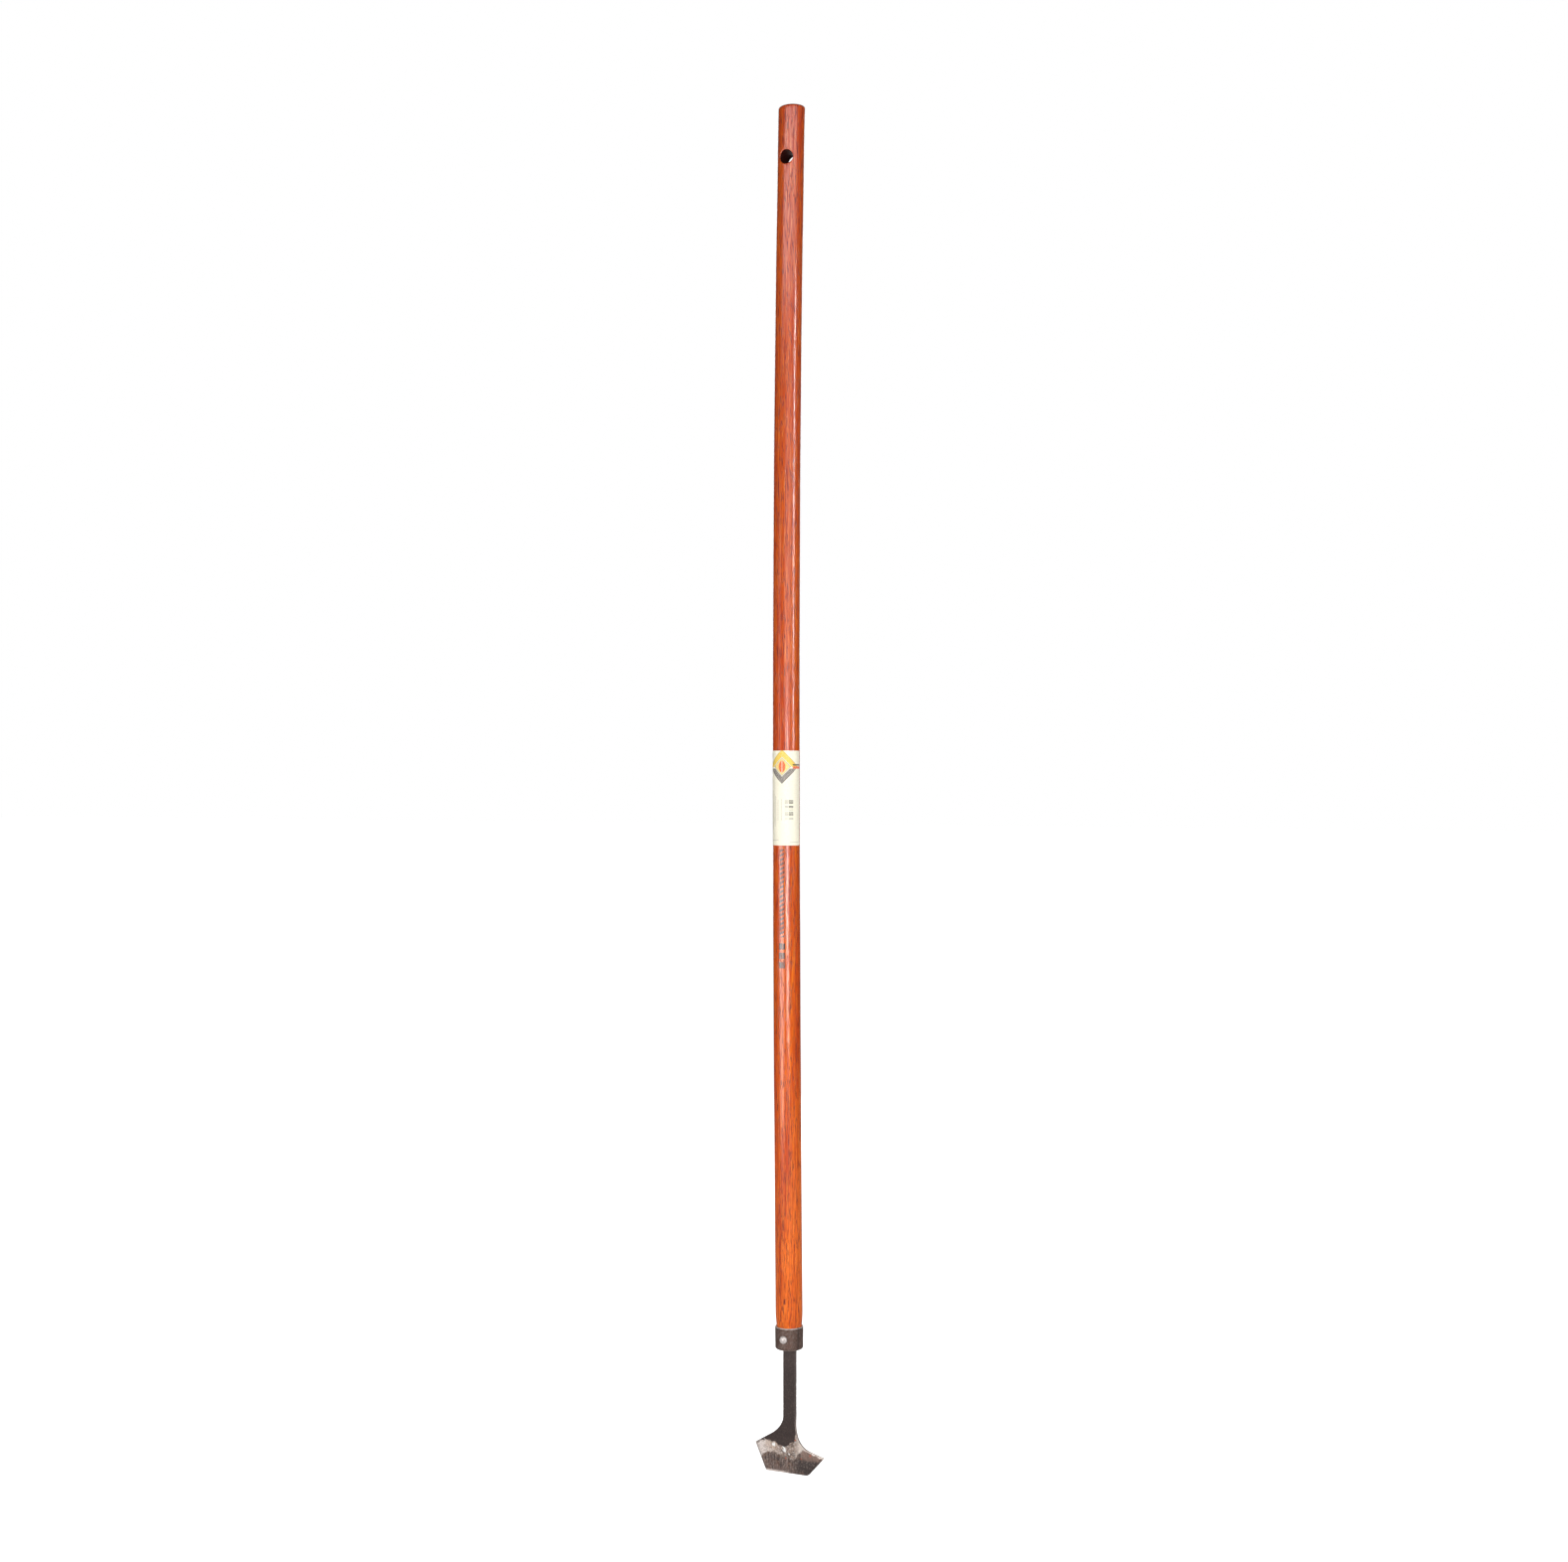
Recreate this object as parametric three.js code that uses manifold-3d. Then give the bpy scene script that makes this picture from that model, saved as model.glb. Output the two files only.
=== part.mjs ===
// A long-handled garden hoe: a turned wooden pole with a hang hole, a steel ferrule and rivet, and
// one flat forging that is tang, shank and five-edged blade in a single piece.
//
// Millimetres. +Z runs up the handle to its butt, +X runs along the blade's bottom edge, and -Y is
// the tool's front, where the rivet has its domed head. The origin is the centre of the hang hole.
// Heights named "..Height" or "..Rise" are counted up from the blade's bottom edge.
import * as THREE from "three";
import { mergeVertices } from "three/addons/utils/BufferGeometryUtils.js";
import Module from "manifold-3d";

const wasm = await Module();
wasm.setup();

// The whole tool
const toolLength = 1435.5;
const holeBelowButt = 54.8;
const buttZ = holeBelowButt;
const edgeZ = buttZ - toolLength;
const gap = 0.3;

// The handle: a round pole with a slight natural bow to -X, a little thicker low down
const buttRadius = 13.9;
const bellyRadius = 14.2;
const mouthRadius = 13.3;
const footRadius = 13.0;
const footTaper = 16;
const taperSteps = 4;
const buttRound = 2.5;
const buttRoundSteps = 5;
const buttLean = 1;
const bowDepth = 4.35;
const bowSkew = 0.25;
const footOffset = 0.8;
const bodyRings = 26;
const handleSides = 44;
const holeRadius = 7.4;
const holeSides = 36;
const swellEnd = 0.7;

// The ferrule: a drawn steel collar, its lower rim turned in under the wood
const ferruleFootHeight = 131.3;
const ferruleTall = 23.9;
const ferruleTopRadius = 14.9;
const ferruleFootRadius = 14.65;
const ferruleWall = 1.3;
const ferruleRim = 0.6;
const ferruleTurn = 1.6;
const turnSteps = 4;
const rimSteps = 3;
const ferruleSides = 48;

// The rivet: one pin along Y through ferrule, wood and tang, square across the ferrule's middle
const rivetHeight = 143.4;
const rivetRadius = 2.2;
const headRadius = 4.2;
const headProud = 2.3;
const tailRadius = 3.6;
const tailProud = 1.3;
const rivetStandOff = 0.2;
const rivetEdge = 1.2;
const domeSteps = 6;
const rivetSides = 28;

// The forging: tang and shank above, blade below
const shankWidth = 13.3;
const shankThickness = 4.9;
const neckRise = 60;
const tangWidth = 10.5;
const tangTipWidth = 6;
const tangReach = 74;
const bladeThickness = 3;
const bladeFootThickness = 2.2;
const edgeThickness = 0.7;
const thinRise = 36;
const sharpenRise = 6;
const tipBevel = 3.2;
const cornerBevel = 1.6;
const bevelSlope = 0.65;

// Corners of the blade's outline as (x, rise), seen from the front
const leftCorner = new THREE.Vector2(-27.4, 0);
const leftTip = new THREE.Vector2(-40.2, 27.8);
const leftShoulder = new THREE.Vector2(-22, 38.9);
const leftBend = new THREE.Vector2(-shankWidth / 2, 48.6);
const rightCorner = new THREE.Vector2(21.3, 0);
const rightTip = new THREE.Vector2(39.2, 20.2);
const rightShoulder = new THREE.Vector2(23.8, 24.6);
const rightBend = new THREE.Vector2(7.8, 28.8);
const rightNeckRise = 51.5;
const flareSteps = 12;

// The paper label wrapped half round the handle at mid-height
const labelFootHeight = 660;
const labelTall = 99.3;
const labelArc = 44;
const labelThickness = 0.3;
const labelCorner = 2;
const labelTurn = THREE.MathUtils.degToRad(5);
const labelSteps = 28;

// Heights that follow from the above
const ferruleFootZ = edgeZ + ferruleFootHeight;
const ferruleTopZ = ferruleFootZ + ferruleTall;
const woodFootZ = ferruleFootZ + ferruleTurn + gap;
const rivetZ = edgeZ + rivetHeight;
const tangTipZ = ferruleFootZ + tangReach;
const shoulderRise = ferruleFootHeight + ferruleTurn;
const ferruleX = -footOffset;
const rivetX = ferruleX;
const rivetHoleRadius = rivetRadius + gap;
const ferruleInnerRadius = footRadius + gap;

function finish(color, roughness, metalness) {
  return new THREE.MeshStandardMaterial({ color, roughness, metalness });
}

function namedMesh(name, geometry, material) {
  const mesh = new THREE.Mesh(geometry, material);
  mesh.name = name;
  return mesh;
}

// A closed mesh as a solid that can be joined and cut.
function toSolid(geometry) {
  const bare = geometry.clone();
  bare.deleteAttribute("normal");
  bare.deleteAttribute("uv");
  const merged = mergeVertices(bare, 1e-4);
  const corners = merged.index.array;
  const triangles = [];
  for (let i = 0; i < corners.length; i += 3) {
    const [a, b, c] = corners.slice(i, i + 3);
    if (a !== b && b !== c && c !== a) triangles.push(a, b, c);
  }
  return new wasm.Manifold(new wasm.Mesh({
    numProp: 3,
    vertProperties: merged.attributes.position.array,
    triVerts: Uint32Array.from(triangles),
  }));
}

function toGeometry(solid) {
  const mesh = solid.getMesh();
  const geometry = new THREE.BufferGeometry();
  geometry.setAttribute("position", new THREE.BufferAttribute(mesh.vertProperties, 3));
  geometry.setIndex(new THREE.BufferAttribute(mesh.triVerts, 1));
  geometry.computeVertexNormals();
  return geometry;
}

// A profile of (radius, z) points, listed from the bottom up and turned about the Z axis.
function turned(profile, sides) {
  return new THREE.LatheGeometry(profile, sides).rotateX(Math.PI / 2);
}

// An arc of (radius, z) points about a centre, between two angles in degrees.
function arc(centreRadius, centreZ, radius, from, to, steps) {
  const points = [];
  for (let i = 0; i <= steps; i++) {
    const angle = THREE.MathUtils.degToRad(from + (to - from) * i / steps);
    points.push(new THREE.Vector2(
      centreRadius + radius * Math.cos(angle),
      centreZ + radius * Math.sin(angle),
    ));
  }
  return points;
}

// A round bar along Y, long enough to pass right through the handle.
function crossBar(radius, x, z, sides) {
  const length = 4 * ferruleTopRadius;
  return toSolid(new THREE.CylinderGeometry(radius, radius, length, sides).translate(x, 0, z));
}

// How far the handle's centre line lies from the Z axis at a height: 0 at the hang hole, then a
// long bow to -X, ending a little off centre at the ferrule.
function centreLine(z) {
  const down = Math.min(z / ferruleTopZ, 1);
  const bow = 4 * down * (1 - down) * (1 + bowSkew * (1 - 2 * down));
  return -bowDepth * bow - footOffset * down;
}

function handleRadius(z) {
  const down = (buttZ - z) / (buttZ - ferruleTopZ);
  return THREE.MathUtils.lerp(buttRadius, bellyRadius, THREE.MathUtils.smoothstep(down, 0, swellEnd));
}

function makeHandle() {
  const bodyFootZ = ferruleTopZ + footTaper;
  const bodyTopZ = buttZ - buttRound;
  const profile = [new THREE.Vector2(0, woodFootZ), new THREE.Vector2(footRadius, woodFootZ)];
  profile.push(new THREE.Vector2(footRadius, ferruleTopZ - gap));
  for (let i = 0; i < taperSteps; i++) {
    const rise = i / taperSteps;
    const swell = Math.sin(rise * Math.PI / 2);
    const radius = THREE.MathUtils.lerp(mouthRadius, handleRadius(bodyFootZ), swell);
    profile.push(new THREE.Vector2(radius, ferruleTopZ + gap + footTaper * rise));
  }
  for (let i = 0; i <= bodyRings; i++) {
    const z = THREE.MathUtils.lerp(bodyFootZ + gap, bodyTopZ, i / bodyRings);
    profile.push(new THREE.Vector2(handleRadius(z), z));
  }
  profile.push(...arc(buttRadius - buttRound, bodyTopZ, buttRound, 0, 90, buttRoundSteps).slice(1));
  profile.push(new THREE.Vector2(0, buttZ));

  const geometry = turned(profile, handleSides);
  const position = geometry.attributes.position;
  for (let i = 0; i < position.count; i++) {
    const z = position.getZ(i);
    const intoButt = Math.max(0, (z - bodyTopZ) / buttRound);
    position.setX(i, position.getX(i) + centreLine(z) + buttLean * intoButt ** 2);
  }
  const slot = toSolid(tangGeometry(gap));
  const hangHole = crossBar(holeRadius, 0, 0, holeSides);
  const rivetHole = crossBar(rivetHoleRadius, rivetX, rivetZ, rivetSides);
  return toSolid(geometry).subtract(slot).subtract(hangHole).subtract(rivetHole);
}

// The tang as a tapered bar, or with a margin the slot in the wood that it fills.
function tangGeometry(margin) {
  const outline = new THREE.Shape();
  outline.moveTo(-tangWidth / 2 - margin, ferruleFootZ);
  outline.lineTo(tangWidth / 2 + margin, ferruleFootZ);
  outline.lineTo(tangTipWidth / 2 + margin, tangTipZ + margin);
  outline.lineTo(-tangTipWidth / 2 - margin, tangTipZ + margin);
  return plate(outline, shankThickness + 2 * margin);
}

// A flat shape drawn in (x, z), given a thickness and centred on y = 0.
function plate(outline, thickness) {
  const geometry = new THREE.ExtrudeGeometry(outline, { depth: thickness, bevelEnabled: false });
  return geometry.rotateX(Math.PI / 2).translate(0, thickness / 2, 0);
}

function makeFerrule() {
  const outer = (z) => THREE.MathUtils.mapLinear(
    z, ferruleFootZ, ferruleTopZ, ferruleFootRadius, ferruleTopRadius);
  const footCornerZ = ferruleFootZ + ferruleTurn;
  const rimZ = ferruleTopZ - ferruleRim;
  const innerTurnRadius = ferruleFootRadius - ferruleTurn - ferruleWall;
  const profile = [
    new THREE.Vector2(innerTurnRadius, ferruleFootZ + ferruleWall),
    new THREE.Vector2(innerTurnRadius, ferruleFootZ),
    ...arc(ferruleFootRadius - ferruleTurn, footCornerZ, ferruleTurn, -90, 0, turnSteps),
    ...arc(outer(rimZ) - ferruleRim, rimZ, ferruleRim, 0, 90, rimSteps),
    new THREE.Vector2(ferruleInnerRadius, ferruleTopZ),
    new THREE.Vector2(ferruleInnerRadius, ferruleFootZ + ferruleWall),
  ];
  profile.push(profile[0].clone());
  const collar = toSolid(turned(profile, ferruleSides).translate(ferruleX, 0, 0));
  return collar.subtract(crossBar(rivetHoleRadius, rivetX, rivetZ, rivetSides));
}

// The rivet as hammered: a domed head in front, a low peened tail behind, both seated on the ferrule.
function makeRivet() {
  const seatRadius = ferruleTopRadius + gap;
  const seatY = seatRadius + rivetStandOff;
  const sunkY = seatY - rivetEdge;
  const head = [
    new THREE.Vector2(0, sunkY),
    new THREE.Vector2(headRadius, sunkY),
    ...domePoints(headRadius, seatY, headProud),
  ];
  const tail = [
    new THREE.Vector2(0, sunkY),
    new THREE.Vector2(tailRadius, sunkY),
    ...domePoints(tailRadius, seatY, tailProud),
  ];
  const headSolid = toSolid(turned(head, rivetSides).rotateX(Math.PI / 2).translate(rivetX, 0, rivetZ));
  const tailSolid = toSolid(turned(tail, rivetSides).rotateX(-Math.PI / 2).translate(rivetX, 0, rivetZ));
  const pin = new THREE.CylinderGeometry(rivetRadius, rivetRadius, 2 * seatY, rivetSides);
  const seat = new THREE.CylinderGeometry(seatRadius, seatRadius, 4 * headRadius, ferruleSides);
  const seatSolid = toSolid(seat.rotateX(Math.PI / 2).translate(ferruleX, 0, rivetZ));
  return headSolid.add(tailSolid).subtract(seatSolid).add(toSolid(pin.translate(rivetX, 0, rivetZ)));
}

// A low dome as (radius, height) points, from its rim up to its crown on the axis.
function domePoints(radius, baseHeight, rise) {
  return arc(0, 0, radius, 0, 90, domeSteps).map(
    (point) => new THREE.Vector2(point.x, baseHeight + point.y * rise / radius));
}

// The forging as seen from the front, from the blade's foot round to the shank's shoulders.
function forgingFront() {
  const half = shankWidth / 2;
  const outline = new THREE.Shape();
  outline.moveTo(leftCorner.x, leftCorner.y);
  outline.lineTo(rightCorner.x, rightCorner.y);
  outline.lineTo(rightTip.x, rightTip.y);
  outline.lineTo(rightShoulder.x, rightShoulder.y);
  outline.quadraticCurveTo(rightBend.x, rightBend.y, half, rightNeckRise);
  outline.lineTo(half, shoulderRise);
  outline.lineTo(-half, shoulderRise);
  outline.lineTo(-half, neckRise);
  outline.quadraticCurveTo(leftBend.x, leftBend.y, leftShoulder.x, leftShoulder.y);
  outline.lineTo(leftTip.x, leftTip.y);
  return outline;
}

// The forging as seen from its side, as (y, rise): a bar that thins below the neck into the blade,
// which is sharpened from behind along its foot.
function forgingSide() {
  const half = shankThickness / 2;
  const outline = new THREE.Shape();
  outline.moveTo(bladeFront(0), 0);
  outline.lineTo(bladeFront(thinRise), thinRise);
  outline.lineTo(-half, neckRise);
  outline.lineTo(-half, shoulderRise);
  outline.lineTo(half, shoulderRise);
  outline.lineTo(half, neckRise);
  outline.lineTo(-bladeFront(thinRise), thinRise);
  outline.lineTo(-bladeFront(sharpenRise), sharpenRise);
  outline.lineTo(bladeFront(0) + edgeThickness, 0);
  return outline;
}

// The y of the blade's front face at a height above its foot.
function bladeFront(rise) {
  return -THREE.MathUtils.mapLinear(rise, 0, thinRise, bladeFootThickness, bladeThickness) / 2;
}

// The waste that is ground off the blade's front along an edge between two (x, rise) points. The
// bevel's width changes evenly from one end to the other, and the waste overruns both ends a little.
function groundWaste(start, end, startWidth, endWidth) {
  const bladeMiddle = new THREE.Vector2(0, thinRise / 2);
  const run = end.clone().sub(start).normalize();
  const inward = new THREE.Vector2(-run.y, run.x);
  if (inward.dot(bladeMiddle.clone().sub(start)) < 0) inward.negate();
  const inner = start.clone().addScaledVector(inward, startWidth);
  const startPoint = new THREE.Vector3(start.x, bladeFront(start.y) + startWidth * bevelSlope, start.y);
  const endPoint = new THREE.Vector3(end.x, bladeFront(end.y) + endWidth * bevelSlope, end.y);
  const innerPoint = new THREE.Vector3(inner.x, bladeFront(inner.y), inner.y);
  const edgeWay = endPoint.clone().sub(startPoint);
  const length = edgeWay.length();
  edgeWay.normalize();
  const outward = new THREE.Vector3().crossVectors(edgeWay, innerPoint.sub(startPoint)).normalize();
  if (outward.y > 0) outward.negate();
  const sideWay = new THREE.Vector3().crossVectors(outward, edgeWay);
  const overrun = endWidth > 0 ? tipBevel : 0;
  const waste = new THREE.BoxGeometry(length + tipBevel + overrun, 4 * tipBevel, 2 * tipBevel);
  waste.translate((length - tipBevel + overrun) / 2, 0, tipBevel);
  const placing = new THREE.Matrix4().makeBasis(edgeWay, sideWay, outward).setPosition(startPoint);
  return toSolid(waste.applyMatrix4(placing).translate(0, 0, edgeZ));
}

function makeForging() {
  const front = new THREE.ExtrudeGeometry(forgingFront(), {
    depth: shankThickness,
    bevelEnabled: false,
    curveSegments: flareSteps,
  }).rotateX(Math.PI / 2).translate(0, shankThickness / 2, edgeZ);
  const reach = rightTip.x - leftTip.x;
  const side = new THREE.ExtrudeGeometry(forgingSide(), { depth: 2 * reach, bevelEnabled: false })
    .rotateX(Math.PI / 2).rotateZ(Math.PI / 2).translate(-reach, 0, edgeZ);
  let forging = toSolid(front).intersect(toSolid(side));
  const grinds = [
    [leftTip, leftCorner, tipBevel, cornerBevel],
    [leftTip, leftShoulder, tipBevel, 0],
    [rightTip, rightCorner, tipBevel, cornerBevel],
    [rightTip, rightShoulder, tipBevel, 0],
  ];
  for (const grind of grinds) forging = forging.subtract(groundWaste(...grind));
  const rivetHole = crossBar(rivetHoleRadius, rivetX, rivetZ, rivetSides);
  return forging.add(toSolid(tangGeometry(0))).subtract(rivetHole);
}

// The label as a thin sheet wrapped round the handle, its four corners rounded.
function makeLabel() {
  const midZ = edgeZ + labelFootHeight + labelTall / 2;
  const innerRadius = handleRadius(midZ) + gap;
  const geometry = new THREE.BoxGeometry(labelArc, labelThickness, labelTall, labelSteps, 1, 1);
  const position = geometry.attributes.position;
  for (let i = 0; i < position.count; i++) {
    const along = position.getX(i);
    const intoCorner = Math.max(0, Math.abs(along) - labelArc / 2 + labelCorner);
    const trim = labelCorner - Math.sqrt(labelCorner ** 2 - intoCorner ** 2);
    const z = midZ + position.getZ(i) * (1 - 2 * trim / labelTall);
    const radius = innerRadius + labelThickness / 2 - position.getY(i);
    const angle = labelTurn + along / innerRadius;
    position.setXYZ(i, centreLine(z) + radius * Math.sin(angle), -radius * Math.cos(angle), z);
  }
  geometry.computeVertexNormals();
  return geometry;
}

const hoe = new THREE.Group();
hoe.add(namedMesh("handle", toGeometry(makeHandle()), finish(0xb8481f, 0.35, 0)));
hoe.add(namedMesh("ferrule", toGeometry(makeFerrule()), finish(0x584640, 0.5, 0.8)));
hoe.add(namedMesh("blade", toGeometry(makeForging()), finish(0x48403c, 0.6, 0.8)));
hoe.add(namedMesh("rivet", toGeometry(makeRivet()), finish(0xd0c8c4, 0.35, 1)));
hoe.add(namedMesh("label", makeLabel(), finish(0xfbf6e4, 0.7, 0)));

export default hoe;
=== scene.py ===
"""Looks for a long-handled hoe: a varnished pole, a steel ferrule and rivet, a forged blade and a
paper label.

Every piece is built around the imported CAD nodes, in metres, +Z up the handle, -Y to the front.
"""
import math
from types import SimpleNamespace

import bmesh
import bpy
from mathutils import Matrix, Vector, noise


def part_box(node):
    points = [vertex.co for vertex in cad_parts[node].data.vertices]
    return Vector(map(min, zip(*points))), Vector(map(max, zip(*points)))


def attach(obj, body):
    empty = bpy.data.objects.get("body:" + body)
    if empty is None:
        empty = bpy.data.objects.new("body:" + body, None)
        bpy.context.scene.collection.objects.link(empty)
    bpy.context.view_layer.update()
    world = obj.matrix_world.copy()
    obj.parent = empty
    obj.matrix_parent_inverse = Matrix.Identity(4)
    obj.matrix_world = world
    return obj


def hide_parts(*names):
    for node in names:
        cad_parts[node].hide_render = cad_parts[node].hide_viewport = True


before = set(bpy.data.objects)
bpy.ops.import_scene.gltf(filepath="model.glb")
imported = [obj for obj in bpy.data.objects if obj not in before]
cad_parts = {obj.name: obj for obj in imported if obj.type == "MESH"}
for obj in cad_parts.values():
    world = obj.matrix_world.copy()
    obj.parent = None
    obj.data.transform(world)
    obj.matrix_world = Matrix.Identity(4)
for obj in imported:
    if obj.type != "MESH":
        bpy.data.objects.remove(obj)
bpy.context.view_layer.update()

MM = 0.001
EDGE_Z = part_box("blade")[0].z
BUTT_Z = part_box("handle")[1].z
FERRULE_FOOT, FERRULE_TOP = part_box("ferrule")
FERRULE_X = (FERRULE_FOOT.x + FERRULE_TOP.x) / 2
FERRULE_RADIUS = (FERRULE_TOP.x - FERRULE_FOOT.x) / 2
RIVET_LOW, RIVET_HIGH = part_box("rivet")
RIVET_X = (RIVET_LOW.x + RIVET_HIGH.x) / 2
RIVET_Z = (RIVET_LOW.z + RIVET_HIGH.z) / 2
RIVET_RADIUS = (RIVET_HIGH.x - RIVET_LOW.x) / 2
HOLE_RADIUS = 7.4 * MM


def new_object(name, data):
    thing = bpy.data.objects.new(name, data)
    bpy.context.scene.collection.objects.link(thing)
    return thing


# ---------------------------------------------------------------- camera, light and floor

CAMERA_AZIMUTH = math.radians(24)
CAMERA_DISTANCE = 2.198
CAMERA_HEIGHT = 0.7275
CAMERA_LEFT = 0.0067
CAMERA_ROLL = math.radians(0.05)
CAMERA_LENS = 48
CAMERA_SENSOR = 36
CAMERA_CLIP_START, CAMERA_CLIP_END = 0.01, 100

# Soft boxes as (name, azimuth, distance, height, aim height, width, tall, watts, turn), in metres
# and degrees. The azimuth is counted from the camera's own, and the turn is about the beam.
LIGHTS = (
    ("key", -32, 2.5, 2.05, 1.2, 2.6, 0.5, 13, 0),
    ("key_right", 22, 2.5, 2.05, 1.2, 2.5, 0.5, 10.5, 0),
    ("middle", 10, 2.5, 1.2, 0.95, 2.6, 0.8, 9, 0),
    ("left", -62, 2.3, 0.8, 0.6, 0.8, 1.0, 2.5, 0),
    ("side_strip", 61, 2.5, 1.25, 0.9, 0.13, 1.1, 21, 6),
    ("low", 8, 2.5, 0.5, 0.6, 0.9, 0.7, 17, 0),
    ("low_strip", 3, 2.4, 0.5, 0.6, 0.5, 0.8, 5, 16),
    ("low_left", -46, 2.3, 0.3, 0.35, 1.5, 0.6, 19, 0),
    ("back", 180, 2.5, 1.3, 0.9, 1.2, 1.8, 22, 0),
)

WHITE = (1, 1, 1, 1)
FILL_COLOUR = (1, 0.98, 0.96, 1)
FILL_STRENGTH = 0.03
FLOOR_REACH = 30
FLOOR_DROP = 0.5 * MM
FLOOR_GREY = (0.8, 0.8, 0.8, 1)


def around(azimuth, distance, height):
    """A point at an azimuth from the front, measured towards +X, and a height above the blade's foot."""
    return Vector((
        math.sin(azimuth) * distance,
        -math.cos(azimuth) * distance,
        EDGE_Z + height,
    ))


def make_camera():
    data = bpy.data.cameras.new("camera")
    data.lens = CAMERA_LENS
    data.sensor_width = CAMERA_SENSOR
    data.clip_start = CAMERA_CLIP_START
    data.clip_end = CAMERA_CLIP_END
    camera = new_object("camera", data)
    left = Vector((-math.cos(CAMERA_AZIMUTH), -math.sin(CAMERA_AZIMUTH), 0))
    camera.location = around(CAMERA_AZIMUTH, CAMERA_DISTANCE, CAMERA_HEIGHT) + left * CAMERA_LEFT
    level = Matrix.Rotation(CAMERA_AZIMUTH, 3, "Z") @ Matrix.Rotation(math.pi / 2, 3, "X")
    camera.rotation_euler = (level @ Matrix.Rotation(CAMERA_ROLL, 3, "Z")).to_euler()
    bpy.context.scene.camera = camera


def make_light(name, azimuth, distance, height, aim_height, width, tall, watts, turn):
    """A soft box that faces the pole."""
    data = bpy.data.lights.new(name, "AREA")
    data.shape = "RECTANGLE"
    data.size = width
    data.size_y = tall
    data.energy = watts
    light = new_object(name, data)
    light.location = around(CAMERA_AZIMUTH + math.radians(azimuth), distance, height)
    aim = Vector((0, 0, EDGE_Z + aim_height)) - light.location
    facing = aim.to_track_quat("-Z", "Y").to_matrix()
    light.rotation_euler = (facing @ Matrix.Rotation(math.radians(turn), 3, "Z")).to_euler()
    light.visible_camera = False


def make_world():
    """White to the camera, and a faint warm fill to everything else."""
    world = bpy.data.worlds.new("studio")
    world.use_nodes = True
    nodes, links = world.node_tree.nodes, world.node_tree.links
    nodes.clear()
    seen = nodes.new("ShaderNodeBackground")
    seen.inputs["Color"].default_value = WHITE
    seen.inputs["Strength"].default_value = 1.0
    lit = nodes.new("ShaderNodeBackground")
    lit.inputs["Color"].default_value = FILL_COLOUR
    lit.inputs["Strength"].default_value = FILL_STRENGTH
    path = nodes.new("ShaderNodeLightPath")
    mix = nodes.new("ShaderNodeMixShader")
    out = nodes.new("ShaderNodeOutputWorld")
    links.new(path.outputs["Is Camera Ray"], mix.inputs[0])
    links.new(lit.outputs[0], mix.inputs[1])
    links.new(seen.outputs[0], mix.inputs[2])
    links.new(mix.outputs[0], out.inputs["Surface"])
    bpy.context.scene.world = world
    bpy.context.scene.view_settings.view_transform = "Standard"


def make_floor():
    """A floor that is plain grey to light and glows white to the camera."""
    reach = FLOOR_REACH
    corners = [(-reach, -reach), (reach, -reach), (reach, reach), (-reach, reach)]
    mesh = bpy.data.meshes.new("floor")
    mesh.from_pydata([(x, y, EDGE_Z - FLOOR_DROP) for x, y in corners], [], [(0, 1, 2, 3)])
    g = Graph("floor_white")
    seen = g.tree.nodes.new("ShaderNodeLightPath").outputs["Is Camera Ray"]
    g.principled({
        "Base Color": FLOOR_GREY, "Roughness": 0.9, "Emission Color": WHITE, "Emission Strength": seen,
    })
    mesh.materials.append(g.material)
    floor = new_object("floor", mesh)


# ---------------------------------------------------------------- node graphs

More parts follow.
